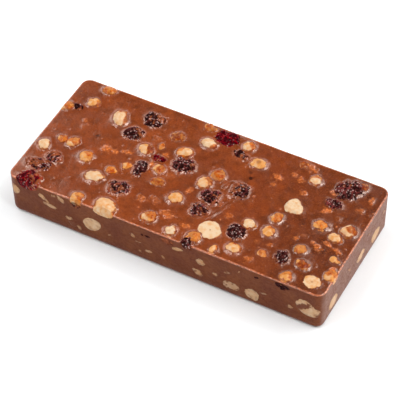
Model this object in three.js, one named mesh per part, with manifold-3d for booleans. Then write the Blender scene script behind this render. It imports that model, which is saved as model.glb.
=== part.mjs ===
import * as THREE from "three";
import { mergeVertices } from "three/addons/utils/BufferGeometryUtils.js";
import Module from "manifold-3d";

// A fruit and nut chocolate bar, in millimetres: a cast slab of milk chocolate
// with hazelnuts, raisins and cranberries set in its open top and its sides.
// +X runs along the bar, -Y is its front, and z = 0 is the face it rests on.

// Slab
const LENGTH = 180;
const WIDTH = 81;
const HEIGHT = 26;
const DRAFT = 0.5; // how far each wall leans in from the top to the bottom
const CORNER_RADIUS = 5;
const BOTTOM_RADIUS = 3;
const RIM_RADIUS = 0.6;
const CORNER_STEPS = 6;
const EDGE_STEPS = 4;
const RIM_STEPS = 2;
const HEADROOM = 12; // how far the walls are carried up to trim what stands proud

// Pieces set in the slab
const GAP = 0.3; // clearance between a piece and its socket
const SPREAD = 1.2; // buried widest size over the size that shows at the surface
const CUT_NUT_RISE = 0.4; // how far a halved nut's flat face stands proud

// Repeatable random numbers
const RANDOM_SEED = 11;
const RANDOM_FACTOR = 16807;
const RANDOM_RANGE = 2147483647;

// Form of each kind: starting ball, height over mean width, taper to the tip, unevenness
const BALL_DETAIL = 1;
const CHIP_SIDES = 7;
const CHIP_LEVELS = 4;
const BALL = new THREE.IcosahedronGeometry(1, BALL_DETAIL);
const COARSE_BALL = new THREE.SphereGeometry(1, CHIP_SIDES, CHIP_LEVELS).rotateX(Math.PI / 2);
const HAZELNUT = { ball: BALL, height: 0.9, tip: 0.16, lumps: 0.03 };
const RAISIN = { ball: BALL, height: 0.72, tip: 0.05, lumps: 0.1 };
const CRANBERRY = { ball: BALL, height: 0.85, tip: 0.05, lumps: 0.08 };
const CHIP = { ball: COARSE_BALL, height: 0.85, tip: 0.1, lumps: 0.08 };

// Hazelnuts in the top: x, y, length and width where they meet the surface, turn
const TOP_HAZELNUTS = [
  [-87, 17, 7, 6, 20],
  [-84, -13, 7.5, 7.5, 0],
  [-76, 25.5, 7, 6.5, 0],
  [-73, 37, 8.5, 6, -5],
  [-71, -4.5, 8, 6.5, 80],
  [-59, -11, 8.5, 8, 90],
  [-57.5, 21, 12.5, 9, -70],
  [-49, -37.5, 7, 6, 0],
  [-49, -21.5, 10.5, 8.5, 25],
  [-34.5, 7.5, 9.5, 8, -50],
  [-33, -37, 13, 10, -30],
  [-21.5, -1.5, 7, 6.5, 0],
  [-15.5, 15, 9, 7, 25],
  [-10.5, -32.5, 8.5, 8, 90],
  [-7.5, 26.5, 8.5, 7, 0],
  [-4.5, -15.5, 9, 7, 0],
  [3.5, -35.5, 6.5, 6.5, 0],
  [3.5, 1, 8.5, 8, 60],
  [7.5, 8.5, 8, 7.5, 0],
  [12, 34.5, 7, 6.5, 60],
  [16, -34.5, 8.5, 7.5, -20],
  [22, 25.5, 9, 7.5, 0],
  [36.5, -14, 7.5, 6.5, 0],
  [37, -32, 9, 7.5, 0],
  [47, -4, 8, 6.5, 80],
  [47.5, -14, 7.5, 7, 0],
  [51.5, 6.5, 10, 9, -35],
  [53.5, 28.5, 7.5, 6.5, 0],
  [67, -17.5, 7, 6, 0],
  [68.5, -36, 7, 6.5, 0],
  [69, 1.5, 9, 7, 0],
  [79, -2.5, 7.5, 5.5, -15],
  [83, 4.5, 9, 8, 45],
  [87, -25.5, 8.5, 5, 85],
];

// Halved hazelnuts lying cut face up: x, y, length, width, turn
const CUT_HAZELNUTS = [
  [21, -26.5, 12, 11.5, 0],
  [81, -33.5, 8.5, 8, 0],
];

// Raisins in the top
const TOP_RAISINS = [
  [-80, -27, 14, 8, 5],
  [-74.5, -18.5, 9, 7, -25],
  [-46, 15, 9, 9, 45],
  [-41, 29, 10, 9, 0],
  [-34, -22.5, 11, 10, 0],
  [-31, -5, 10, 7.5, -65],
  [-12.5, 6.5, 13, 11.5, 0],
  [10, -17, 11, 8.5, 0],
  [11.5, -6.5, 12, 9, -10],
  [22, 4, 12, 9.5, 90],
  [33.5, -21.5, 9.5, 7.5, -40],
  [61, -26, 8, 7, 90],
  [68.5, 18, 8, 6.5, 0],
  [71, 30.5, 14, 13, 0],
];

// Dried cranberries in the top, one across the front edge and one at the back
const TOP_CRANBERRIES = [
  [-78, -37.5, 13, 10, 0],
  [-1, 34.5, 13, 9, 15],
];

// Nuts cut flush by the mould: distance along the wall, z, length, height, turn
const FRONT_HAZELNUTS = [
  [-40, 13, 10.5, 8.5, 30],
  [40, 8, 9, 6, 0],
  [51.5, 7.5, 7.5, 7.5, 0],
  [82, 13.5, 13, 10, -35],
];
const RIGHT_HAZELNUTS = [
  [-26, 8.5, 10, 7, 0],
  [6, 10.5, 9, 6, 0],
  [24, 8.5, 10, 7, 0],
];

// Chips and small nuts under a coat of chocolate, fused to the top: x, y, length, width, turn
const CHIPS = [
  [-77.5, -5, 5, 4.5, 0],
  [-53, -0.5, 5, 4, 30],
  [-49, -3, 3, 3, 0],
  [-43, 1.5, 4, 4, 0],
  [-42.5, -13.5, 5.5, 4.5, 0],
  [-38, -7, 4, 4, 0],
  [-28, 13.5, 4, 4, 0],
  [-26.5, 4.5, 6, 4.5, 20],
  [-24, 22.5, 7, 6, 0],
  [-16.5, -9.5, 8, 5.5, 10],
  [-13, 36.5, 5, 5, 0],
  [-3, -6.5, 3.5, 3, 0],
  [11, 27, 8, 4, 0],
  [9, -29, 4, 3, 0],
  [27.5, -36.5, 5.5, 5, 0],
  [35, 21, 5, 4.5, 0],
  [43.5, 35.5, 6, 4, -20],
  [45, 26.5, 5, 4, 0],
  [51.5, -28, 5, 4, 0],
  [46.5, -33.5, 5, 5, 0],
  [50, 17.5, 4, 3, 0],
  [61, -11, 3.5, 3, 0],
  [67.5, 11, 6, 4, 0],
  [73, -11.5, 6, 4, -20],
  [74, -25.5, 7.5, 6.5, 0],
  [84, 28, 4, 6, 0],
  [85, -11, 5, 3, -30],
  [84.5, -16.5, 4, 3, 0],
];

const CHOCOLATE_MATERIAL = new THREE.MeshStandardMaterial({ color: 0x7b3f24, roughness: 0.35 });
const HAZELNUT_MATERIAL = new THREE.MeshStandardMaterial({ color: 0xe9b878, roughness: 0.5 });
const RAISIN_MATERIAL = new THREE.MeshStandardMaterial({ color: 0x3b2226, roughness: 0.45 });
const CRANBERRY_MATERIAL = new THREE.MeshStandardMaterial({ color: 0x6e1520, roughness: 0.4 });

// Each face's frame: where its own x, y and outward z axes point
const X_AXIS = new THREE.Vector3(1, 0, 0);
const Y_AXIS = new THREE.Vector3(0, 1, 0);
const Z_AXIS = new THREE.Vector3(0, 0, 1);
const TOP_FACE = new THREE.Matrix4().makeBasis(X_AXIS, Y_AXIS, Z_AXIS);
const FRONT_FACE = new THREE.Matrix4().makeBasis(X_AXIS, Z_AXIS, Y_AXIS.clone().negate());
const RIGHT_FACE = new THREE.Matrix4().makeBasis(Y_AXIS, Z_AXIS, X_AXIS);

const wasm = await Module();
wasm.setup();

// The geometry with its shared vertices joined
function joined(geometry) {
  geometry.deleteAttribute("normal");
  geometry.deleteAttribute("uv");
  return mergeVertices(geometry);
}

function solidFrom(geometry) {
  const merged = joined(geometry);
  return new wasm.Manifold(
    new wasm.Mesh({
      numProp: 3,
      vertProperties: new Float32Array(merged.attributes.position.array),
      triVerts: new Uint32Array(merged.index.array),
    }),
  );
}

function geometryFrom(solid) {
  const mesh = solid.getMesh();
  const geometry = new THREE.BufferGeometry();
  geometry.setAttribute("position", new THREE.BufferAttribute(new Float32Array(mesh.vertProperties), 3));
  geometry.setIndex(new THREE.BufferAttribute(new Uint32Array(mesh.triVerts), 1));
  return geometry;
}

// One level of the slab: a rounded rectangle, inset from the top outline
function ringAt(inset, z) {
  const radius = CORNER_RADIUS - inset / 2;
  const points = [];
  const corners = [[1, 1], [-1, 1], [-1, -1], [1, -1]];
  corners.forEach(([sideX, sideY], quarter) => {
    for (let step = 0; step <= CORNER_STEPS; step += 1) {
      const angle = ((quarter + step / CORNER_STEPS) * Math.PI) / 2;
      const x = sideX * (LENGTH / 2 - inset - radius) + radius * Math.cos(angle);
      const y = sideY * (WIDTH / 2 - inset - radius) + radius * Math.sin(angle);
      points.push([x, y, z]);
    }
  });
  return points;
}

// Closed solid through rings of equal count, listed from the bottom up
function loft(rings) {
  const count = rings[0].length;
  const positions = rings.flat(2);
  const indices = [];
  for (let level = 0; level + 1 < rings.length; level += 1) {
    for (let i = 0; i < count; i += 1) {
      const a = level * count + i;
      const b = level * count + ((i + 1) % count);
      indices.push(a, b, b + count, a, b + count, a + count);
    }
  }
  const top = (rings.length - 1) * count;
  for (let i = 1; i + 1 < count; i += 1) {
    indices.push(0, i + 1, i);
    indices.push(top, top + i, top + i + 1);
  }
  const geometry = new THREE.BufferGeometry();
  geometry.setAttribute("position", new THREE.Float32BufferAttribute(positions, 3));
  geometry.setIndex(indices);
  return solidFrom(geometry);
}

function draftAt(z) {
  return DRAFT * (1 - z / HEIGHT);
}

function bottomRings() {
  const rings = [];
  for (let step = 0; step <= EDGE_STEPS; step += 1) {
    const angle = ((step / EDGE_STEPS) * Math.PI) / 2;
    const z = BOTTOM_RADIUS * (1 - Math.cos(angle));
    rings.push(ringAt(draftAt(z) + BOTTOM_RADIUS * (1 - Math.sin(angle)), z));
  }
  return rings;
}

function slabSolid() {
  const rings = bottomRings();
  for (let step = 0; step <= RIM_STEPS; step += 1) {
    const angle = ((step / RIM_STEPS) * Math.PI) / 2;
    const z = HEIGHT - RIM_RADIUS * (1 - Math.sin(angle));
    rings.push(ringAt(draftAt(z) + RIM_RADIUS * (1 - Math.cos(angle)), z));
  }
  return loft(rings);
}

// The slab's walls carried straight up past its top
function wallSolid(top) {
  return loft([...bottomRings(), ringAt(0, HEIGHT), ringAt(0, top)]);
}

let randomState = RANDOM_SEED;
function random() {
  randomState = (randomState * RANDOM_FACTOR) % RANDOM_RANGE;
  return randomState / RANDOM_RANGE;
}

// The kind's ball, made uneven once for each piece
function unevenBall(kind) {
  const ball = joined(kind.ball.clone());
  const { position } = ball.attributes;
  const point = new THREE.Vector3();
  for (let i = 0; i < position.count; i += 1) {
    point.fromBufferAttribute(position, i);
    const taper = 1 - kind.tip * Math.max(point.x, 0) ** 2;
    point.multiply(new THREE.Vector3(1, taper, taper));
    point.multiplyScalar(1 + kind.lumps * (2 * random() - 1));
    position.setXYZ(i, point.x, point.y, point.z);
  }
  return ball;
}

// A piece set in a face so that it meets the surface at length x width, tip along its turn
function placePiece(kind, face, origin, [u, v, length, width, turn]) {
  const halfHeight = (kind.height * (length + width)) / 4;
  const sink = halfHeight * Math.sqrt(1 - 1 / SPREAD ** 2);
  const matrix = new THREE.Matrix4()
    .makeTranslation(origin)
    .multiply(face)
    .multiply(new THREE.Matrix4().makeTranslation(u, v, -sink))
    .multiply(new THREE.Matrix4().makeRotationZ(THREE.MathUtils.degToRad(turn)));
  const ball = unevenBall(kind);
  const sized = (extra) => {
    const body = ball.clone();
    body.scale((SPREAD * length) / 2 + extra, (SPREAD * width) / 2 + extra, halfHeight + extra);
    body.applyMatrix4(matrix);
    return solidFrom(body);
  };
  const centre = new THREE.Vector3().setFromMatrixPosition(matrix);
  return { solid: sized(0), socket: sized(GAP), centre };
}

function piecesOn(face, origin, kind, rows) {
  return rows.map((row) => placePiece(kind, face, origin, row));
}

function topPieces(kind, rows) {
  return piecesOn(TOP_FACE, new THREE.Vector3(0, 0, HEIGHT), kind, rows);
}

function cutHazelnuts() {
  const below = wallSolid(HEIGHT + CUT_NUT_RISE);
  return topPieces(HAZELNUT, CUT_HAZELNUTS).map((piece) => ({ ...piece, solid: piece.solid.intersect(below) }));
}

function wallHazelnuts() {
  const front = new THREE.Vector3(0, -WIDTH / 2, 0);
  const right = new THREE.Vector3(LENGTH / 2, 0, 0);
  return [
    ...piecesOn(FRONT_FACE, front, HAZELNUT, FRONT_HAZELNUTS),
    ...piecesOn(RIGHT_FACE, right, HAZELNUT, RIGHT_HAZELNUTS),
  ];
}

function largestPart(solid) {
  return solid.decompose().reduce((best, part) => (part.volume() > best.volume() ? part : best));
}

// Trims the pieces at the walls, and each one clear of those placed before it
function settle(pieces) {
  const walls = wallSolid(HEIGHT + HEADROOM);
  const placed = [];
  for (const piece of pieces) {
    let solid = piece.solid.intersect(walls);
    for (const other of placed) {
      solid = solid.subtract(other.socket);
    }
    placed.push({ ...piece, solid: largestPart(solid) });
  }
  return placed;
}

function slabWith(pieces) {
  let slab = slabSolid();
  for (const chip of topPieces(CHIP, CHIPS)) {
    slab = slab.add(chip.solid);
  }
  for (const piece of pieces) {
    slab = slab.subtract(piece.socket);
  }
  return largestPart(slab);
}

function meshFor(name, solid, centre, material) {
  const geometry = geometryFrom(solid);
  geometry.translate(-centre.x, -centre.y, -centre.z);
  const mesh = new THREE.Mesh(geometry, material);
  mesh.name = name;
  mesh.position.copy(centre);
  return mesh;
}

function namedPieces(kindName, material, pieces) {
  return pieces.map((piece, i) => ({ ...piece, material, name: `${kindName}_${String(i + 1).padStart(2, "0")}` }));
}

function buildBar() {
  const hazelnuts = [...topPieces(HAZELNUT, TOP_HAZELNUTS), ...cutHazelnuts(), ...wallHazelnuts()];
  const pieces = settle([
    ...namedPieces("cranberry", CRANBERRY_MATERIAL, topPieces(CRANBERRY, TOP_CRANBERRIES)),
    ...namedPieces("raisin", RAISIN_MATERIAL, topPieces(RAISIN, TOP_RAISINS)),
    ...namedPieces("hazelnut", HAZELNUT_MATERIAL, hazelnuts),
  ]);
  const bar = new THREE.Group();
  bar.add(meshFor("chocolate_slab", slabWith(pieces), new THREE.Vector3(), CHOCOLATE_MATERIAL));
  for (const { name, solid, centre, material } of pieces) {
    bar.add(meshFor(name, solid, centre, material));
  }
  return bar;
}

export default buildBar();
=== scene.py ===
from math import atan, cos, degrees, exp, pi, radians, sin, sqrt
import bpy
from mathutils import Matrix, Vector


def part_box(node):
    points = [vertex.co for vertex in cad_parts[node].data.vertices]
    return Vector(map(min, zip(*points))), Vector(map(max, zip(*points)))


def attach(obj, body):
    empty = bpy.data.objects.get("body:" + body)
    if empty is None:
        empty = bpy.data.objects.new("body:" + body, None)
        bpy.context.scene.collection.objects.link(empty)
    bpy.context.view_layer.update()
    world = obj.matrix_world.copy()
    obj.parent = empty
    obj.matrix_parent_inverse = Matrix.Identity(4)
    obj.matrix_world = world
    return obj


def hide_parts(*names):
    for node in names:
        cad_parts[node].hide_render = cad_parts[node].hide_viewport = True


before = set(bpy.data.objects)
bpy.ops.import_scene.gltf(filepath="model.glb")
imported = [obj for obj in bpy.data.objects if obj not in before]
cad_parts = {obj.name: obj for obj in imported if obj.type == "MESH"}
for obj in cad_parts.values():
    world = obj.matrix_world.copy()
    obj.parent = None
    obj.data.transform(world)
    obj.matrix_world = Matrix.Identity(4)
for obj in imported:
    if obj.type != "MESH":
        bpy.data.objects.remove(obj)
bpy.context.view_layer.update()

from types import SimpleNamespace

import bpy
import numpy as np
from mathutils import Matrix, Vector
from numpy.linalg import norm

MM = 0.001
SEED = 7
WAVE_COUNT = 28
WAVE_SPREAD = (0.7, 1.5)  # shortest and longest wave in smooth noise, over its wavelength

# Slab, with the driving sizes of the solid that it replaces
SLAB_NODE = "chocolate_slab"
TOP = 26 * MM
DRAFT = 0.5 * MM
CORNER_RADIUS = 5 * MM
BOTTOM_RADIUS = 3 * MM
RIM_RADIUS = 0.6 * MM
RIM_HIGHLIGHT_REACH = 0.72 * MM  # how far in from the wall the rim is lighter, a painted highlight
RIM_HIGHLIGHT_DROP = 0.9 * RIM_RADIUS  # and how far down the wall the painted highlight reaches
RIM_STEPS = 4
WALL_STEPS = 8
BOTTOM_STEPS = 5
GRID_STEP = 0.435 * MM

# Chocolate that climbs the pieces, and its waves. Waves are given as layers, here and
# below, each a wavelength and a height.
COLLAR_HEIGHT = 0.82 * MM
COLLAR_VARIES = (0.85, 1.2)  # least and most rise over that height
COLLAR_WIDTH = 1.0 * MM
COLLAR_LIP = 0.9 * MM  # how far in under a piece the collar falls back to the level
COLLAR_TUCK = 0.3 * MM  # how far in under a piece the collar keeps its height
COLLAR_CLEAR = (0.2 * MM, 2 * MM)  # distances from a wall between which the collars grow
COLLAR_WAVES = [(5 * MM, 0.25)]
OUTLINE_LEVEL = 0.9  # how far up its collar a piece's outline is measured
RIM_GAP = 0.9 * MM  # how far the rim drops where a piece lies across it
RIM_GAP_EDGE = (0.1 * MM, -0.5 * MM)  # from outside a piece's foot to inside it
COLLAR_SHARE = 0.5  # most of a collar's rise over how far its piece stands out
COLLAR_ON_FRUIT = 0.75
LOW_COLLARS = {"hazelnut_27": 0.3, "cranberry_02": 0.3}
TOP_WAVES = [(26 * MM, 0.14 * MM), (8 * MM, 0.04 * MM), (3 * MM, 0.012 * MM)]

# Folds in the film of chocolate between toppings: the points that one runs along
RIDGES = [
    [(14, -20), (17, -17), (18.5, -11.5), (20.5, -7), (21.5, -3.5)],
    [(13, 3), (14, 6), (16, 7.8), (18.5, 8.8)],
    [(-4, 38), (2, 38.5), (7, 37)],
]
RIDGE_RISE = 0.36 * MM
RIDGE_WIDTH = 1.5 * MM

# Pieces
NUT_MESH = (60, 34)  # points round a piece, and steps from its top to its foot
FRUIT_MESH = (116, 50)
MARK_MESH = (40, 14)
TOP_SHARE = 1.5  # above 1, more of a piece's rings lie near its top
SWELL = 0.65 * MM  # how much wider a top piece is than its solid, up to its collar
SWELL_FLAT = 3  # it grows so many times less in height
OUTLINE_STEPS = 48
PROUD = 0.07 * MM  # how far a piece cut flush stands out of the wall
COVER_DEPTH = 3.4 * MM  # below this the chocolate closes over a piece at the edge
DEEP_COVERS = {"cranberry_01": 5.5 * MM}
COVER_WIDTH = 0.8  # the part of its width that such a piece shows in the wall
COVER_ROUND = 2.5  # above 2, squarer than an oval
EDGE_LEAN = 1.3 * MM  # how far a piece across the rim is worn back at its top
EDGE_LEAN_HEIGHT = 2.2 * MM
EDGE_LEAN_FROM = -0.3  # where the wear begins, in those heights above the chocolate
FLAT_MARGIN = 0.2 * MM  # a solid's points nearer to a wall aren't measured
FRONT_REACH = 1 * MM  # a flush nut this near to the front wall is in it
NUT_LUMPS = [(6 * MM, 0.2 * MM), (2.2 * MM, 0.12 * MM)]
NUT_FACETS = 5
FACET_CUT = (1.03, 1.12)  # how far from the middle a flat lies, over the radius
FACET_REACH = 0.3  # a flat cuts only where the cosine of the angle to it is above this
FACET_SHARP = 12  # higher makes the borders of the flats sharper
NUT_TIP = 0.14  # how much a nut narrows to its tip, and widens to its base
THREE_SIDED = {27: (0.1, 30)}  # nut number to how three sided it is, and a corner's angle
FRUIT_LUMPS = [(7 * MM, 0.35 * MM), (3.5 * MM, 0.2 * MM)]
FRUIT_FOLDS = [(4.5 * MM, 0.62 * MM), (2.3 * MM, 0.34 * MM), (1.2 * MM, 0.15 * MM)]
COAT_FILL = 0.6  # how much a coat evens out the folds under it

# How much of each top hazelnut is under a film of chocolate, the film's side in degrees
# from +X, and how thick it is: from 0, amber, to 1, brown. In the order of the nodes.
NUT_FILMS = [
    (0.8, 30, 0.4), (0.04, 0, 0.2), (0.3, 20, 0.3), (0.92, 160, 0.4), (0.75, 60, 0.3),
    (0.5, 45, 0.25), (0.47, 45, 0.6), (0.6, 0, 0.3), (0.05, 90, 0.1), (0.55, 35, 0.95),
    (0, 0, 0), (0.7, 0, 0.5), (0.3, 150, 0.3), (0.5, 40, 0.4), (0.33, 0, 0.5),
    (0.1, 30, 0.1), (0.25, 45, 0.9), (0.5, 20, 0.55), (0.85, 30, 0.4), (0.42, 30, 0.4),
    (0.85, 20, 0.3), (0.1, 30, 0.2), (0.15, 30, 0.3), (0.3, 60, 0.3), (0.8, 40, 0.25),
    (0.35, 60, 0.2), (0, 0, 0), (0.42, 110, 0.3), (0.9, 0, 0.3), (0.6, 110, 0.25),
    (0.8, 60, 0.05), (0.15, 90, 0.2), (0.47, 45, 0.6), (0.55, 100, 0.4), (0, 0, 0), (0.1, 0, 0.2),
]

# How golden each top hazelnut is where it is bare, in the same order
NUT_GOLDS = [
    0.8, 0.3, 0.7, 0.8, 0.7, 0.85, 0.35, 0.7, 0.35, 0.6, 0.5, 0.7, 0.5, 0.65, 0.15, 0.75, 0.15, 0.5,
    0.8, 0.5, 0.8, 0.9, 0.2, 0.65, 0.9, 0.85, 0.05, 0.15, 0.9, 0.9, 1, 0.6, 0.45, 0.7, 0.05, 0.4,
]
SMALL_NUT_GOLD = 0.8
GOLD_WAVES = [(3 * MM, 0.22)]

# The border of a film or a coat: how far it moves each way, and how soft it is
FILM_BORDER = (0.85, 0.16)
FILM_WAVES = [(1.1, 0.22)]
COAT_BORDER = (2, 0.25)
COAT_WAVES = [(3 * MM, 1), (1.4 * MM, 0.5)]
COAT_PULL = 1.4  # how strongly a coat keeps to its side
MARK_COAT_BORDER = (2, 0.3)
MARK_COAT_WAVES = [(1.8 * MM, 1)]

# The stain that a collar's thin edge leaves on a nut, browner at its very foot, which is partly painted
# shade where nut and chocolate meet
FOOT_REACH = (-0.4 * MM, 0.2 * MM)  # from inside its outline to outside it
FOOT_LEAN = (0.22 * MM, -20)  # how much further on one side, and that side's angle
FOOT_WAVES = [(2.5 * MM, 0.18 * MM)]
FOOT_CLEAR = (0.2 * MM, 1.6 * MM)  # distances from a wall between which it grows
FOOT_FILM_AND_SHADE = 0.85

# Nuts lying cut face up, and how far the face stands out
CUT_NUTS = {"hazelnut_35": 0.4 * MM, "hazelnut_36": 0.4 * MM, "hazelnut_27": 1.3 * MM}

# Brown seed ends that show in a nut's face: nut number to radius and darkness
NUT_EYES = {22: (1.8 * MM, 0.7), 35: (0.45 * MM, 1.0), 36: (0.9 * MM, 0.5)}
EYE_CORE = 0.4  # the part of that radius that is fully dark

# Share of each raisin and cranberry that is coated, the coat's side, as for the nuts, and
# how black the skin is
RAISIN_COATS = [
    (0.6, 160, 0.5), (0.6, 60, 0.3), (0.2, 60, 0.9), (0.3, 45, 1), (0.4, 225, 0.4), (0, 0, 1),
    (0.05, 0, 0.5), (0.35, 0, 0.5), (0.3, 0, 0.1), (0.42, 180, 0.8), (0, 0, 1), (0, 0, 1),
    (0.15, 250, 0.4), (0.12, 150, 0.6),
]
CRANBERRY_COATS = [(0.33, 10, 0), (0, 0, 0)]
# Painted glints: pale specks painted on the skins of the fruit, more near the collar
PAINTED_GLINT_SHARE = {"raisin": 0.55, "cranberry": 0.12}
PAINTED_GLINT_FOOT = 0.3  # how many more painted glints at the collar
PAINTED_GLINT_REACH = (-1.6 * MM, -0.2 * MM)  # from a piece's outline, where that starts and is whole

# Small toppings that the solid has as bumps, in millimetres: x, y, length and width where
# they meet the surface, turn. The nuts go on with their film, and the fruit with its coat.
SMALL_NUTS = [
    (-77.5, -5, 5, 4.5, 0, (0.9, 20, 0.35)), (-43, -13.5, 6, 4.6, -20, (0.85, 200, 0.2)),
    (-38, -6.8, 4.6, 4.4, 0, (0.5, 0, 0)), (-18, -9.3, 8, 5, -5, (0.98, 0, 0.7)),
    (28.6, -36.8, 4.6, 5, 0, (0.4, 40, 0.1)), (85, -15.8, 5, 2.8, -8, (0.35, 30, 0.15)),
    (-28.4, 13.3, 3.6, 4, 0, (0.98, 0, 0.2)), (-24.2, 23.4, 7, 6.5, 0, (0.98, 0, 0.9)),
    (43, 35.8, 5, 4.2, 0, (0.98, 0, 0.85)), (-12.4, 37, 6, 5, 0, (0.98, 0, 0.6)),
    (51.5, -28.4, 5, 4.2, 0, (0.8, 0, 0.3)), (72, -25.7, 7.5, 6.5, 0, (0.99, 0, 0.9)),
    (76.8, 35.4, 5.5, 4.8, -30, (0.95, 0, 1)),
]
SMALL_RAISINS = [
    (11, 27.5, 8.5, 4.5, -20, (0.3, 0, 0.8)), (-82.2, 19, 4, 3.5, 0, (0.2, -60, 0.9)),
    (14.8, -39, 5, 5, 0, (0.1, 0, 0.7)),
]
SMALL_CRANBERRIES = [(-26.2, 4.5, 6.5, 4.8, 20, (0.3, 180, 0.3))]
BURIED_SPREAD = 1.2  # a small topping's widest size over the size at the surface
SMALL_HEIGHT = 0.7  # its height over its mean width
FIRST_NUMBERS = {"raisin": 60, "cranberry": 70, "nut": 80, "mark": 100}  # they set the noise

# Bits of nut under a thin coat: x, y, length, width, turn, how amber
AMBER_CHIPS = [
    (-53.8, -1, 6, 5, 30, 0.85), (-48.8, -0.6, 4.5, 3, -10, 0.8), (-43, 2, 5.5, 4, 0, 0.8),
    (-74, 12, 3, 3, 0, 0.5), (-71, 10, 3, 2, 0, 0.35), (-72.5, 7.5, 3, 3, 0, 0.25),
    (-23.8, 9.2, 4.5, 3.6, 0, 0.8), (-26.8, -0.2, 4, 4.5, 0, 0.75), (-33, 17.5, 5, 4, 0, 0.3),
    (-20, -23, 6, 5, -20, 0.55), (-13, -21, 7, 4, -20, 0.4), (-15, -2.5, 6, 4, 20, 0.3),
    (-1.2, -7.2, 3.2, 4.5, 0, 0.75), (-3.5, -26.5, 7.5, 5, -10, 0.7), (8.4, -29.3, 6, 2.6, 10, 0.85),
    (24.9, -13.3, 4.5, 4, 10, 0.45), (34.8, 21.8, 5.5, 4.5, 0, 0.9), (35, 16.6, 5, 3, -15, 0.5),
    (30, 1, 4, 3, 0, 0.2), (41.8, 27.3, 4, 3.5, 0, 0.6), (46, 25.6, 5, 4, -30, 0.6),
    (47.8, 35.8, 7, 4, -20, 0.65), (51, 18, 4, 4, 0, 0.6), (52, -21.4, 4, 3, 0, 0.45),
    (44.7, -22.5, 4, 3, 0, 0.3), (46.6, -34.5, 6, 4, 45, 0.55), (61, -11, 3.2, 4, 0, 0.55),
    (63.5, -8, 5, 2.5, 20, 0.3), (73, -11.7, 7.5, 3.8, -35, 0.85), (77, -7.6, 5.5, 2.6, -25, 0.8),
    (83.6, -9.8, 5, 3.2, -25, 0.6), (65, 25, 4, 3.4, 0, 0.65), (66.6, 12.2, 5.5, 4, 0, 0.9),
    (74.5, 10, 4, 4, 0, 0.2), (82, 20, 5, 4.5, 30, 0.4), (84.3, 28.5, 3.5, 6, 0, 0.6),
    (86.5, -21.5, 3.6, 3.2, 0, 0.9),
]

# Bits of fruit skin under a thin coat: x, y, length, width, turn, how dark
DARK_CHIPS = [
    (22.8, 15.1, 2.4, 2.6, 0, 0.95), (20.8, 18.2, 3, 1.8, -20, 0.45), (-62.6, 5.3, 2.6, 3, 0, 0.7),
    (59.6, 0, 4, 8, 10, 0.25), (-49.5, 17.5, 3.5, 2.5, 0, 0.3),
]
CHIP_RISE = 0.042  # height of a coated bit over its mean width
CHIP_RISE_EDGE = (1.35, 0.3)  # from outside a bit to inside it, over its size
CHIP_COLOUR_EDGE = (1.35, 0.4)
CHIP_LUMPS = [(2.2 * MM, 0.3)]
CHIP_RAGGED = [(2.6 * MM, 0.26), (1.1 * MM, 0.16)]

# Fine grit of nut in the chocolate
FLECK_COUNT = 200
FLECK_RADIUS = (0.5 * MM, 1.3 * MM)
FLECK_STRETCH = (0.6, 1.0)
FLECK_AMBER = (0.2, 0.75)
FLECK_RISE = 0.18  # height of a fleck over its radius
FLECK_CLEAR = (0.3 * MM, 2 * MM)  # distances from a piece between which the flecks grow

# Pieces that the mould cut flush with a wall, in millimetres: along the wall, height
# above the rest face, length, width, turn, and how bare of chocolate
FRONT_NUT_MARKS = [
    (-86.2, 17.2, 6, 6, 0, 0.8), (-69.2, 19.2, 4.6, 3.2, -40, 0.85), (-66.5, 17.2, 4, 1.8, -50, 0.5),
    (-64.8, 14.6, 7.2, 2.8, -8, 0.75), (-62.3, 23.4, 3, 2.2, 30, 0.35), (-58, 22.8, 5.4, 3, -50, 0.65),
    (-54, 10.6, 4.2, 2.8, 15, 0.6), (-48, 6.4, 3.4, 2.4, -60, 0.6), (-51.8, 7.6, 4.6, 4.2, 0, -0.3),
    (-16.2, 17.2, 3, 3, -30, 0.4), (-13, 13.6, 4, 1, 0, 0.2), (-7.4, 9.2, 4, 2.4, 10, 0.5),
    (-12.4, 7, 2.5, 2, 0, 0.2), (1.2, 9.2, 3.2, 1.8, -45, 0.45), (9.4, 19.9, 6, 2.4, 18, 0.85),
    (22.6, 17.2, 5, 4.2, -35, 0.8), (21.2, 8.2, 5.6, 4, -40, 0.65), (30.8, 12, 3, 2.2, -20, 0.55),
    (44.6, 21.6, 2.6, 0.9, 60, 0.35), (72.6, 10, 4, 2.6, 10, 0.4), (38, 17, 5, 2, 20, 0.12),
    (-30, 10, 3, 1, 40, 0.25), (58, 12, 4, 2, 10, 0.12),
]
FRONT_FRUIT_MARKS = [
    (-49.6, 22.8, 6, 4, 0, 0.5), (68.4, 23.4, 7.6, 3.6, 0, 0), (68.4, 21.8, 3, 2.6, 0, 0),
    (4.4, 22.8, 6.5, 4, 0, 0.65), (-10.6, 20.3, 1.8, 1.6, 0, 0), (-7.4, 20.5, 3, 1.3, 0, 0),
    (54, 22, 2.6, 1.4, 30, 0.1),
]
RIGHT_NUT_MARKS = [(-8.5, 14, 6, 1.6, -50, 0.35), (33, 17, 5, 2.4, -20, 0.3), (14, 18, 5, 1.6, -30, 0.2)]
BACK_NUT_MARKS = [
    (-72, 9, 9, 6, 20, 0.9), (-51, 16, 6, 4, -30, 0.6), (-33, 8, 10, 7, 10, 0.85),
    (-12, 14, 5, 3, -40, 0.4), (9, 7, 8, 6, 30, 0.8), (33, 17, 7, 4, -25, 0.7),
    (47, 8, 10, 7, -15, 0.9), (72, 14, 6, 5, 40, 0.6), (-62, 21, 4, 2, -30, 0.4), (20, 20, 4, 2, 25, 0.35),
]
BACK_FRUIT_MARKS = [(-43, 20, 7, 4, 0, 0.2), (24, 11, 5, 3, 20, 0), (61, 20, 6, 3, 0, 0.3)]
LEFT_NUT_MARKS = [
    (-27, 12, 9, 6, 20, 0.85), (-5, 8, 6, 5, 0, 0.7), (12, 16, 5, 3, -30, 0.5), (26, 8, 8, 6, 15, 0.8),
]
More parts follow.
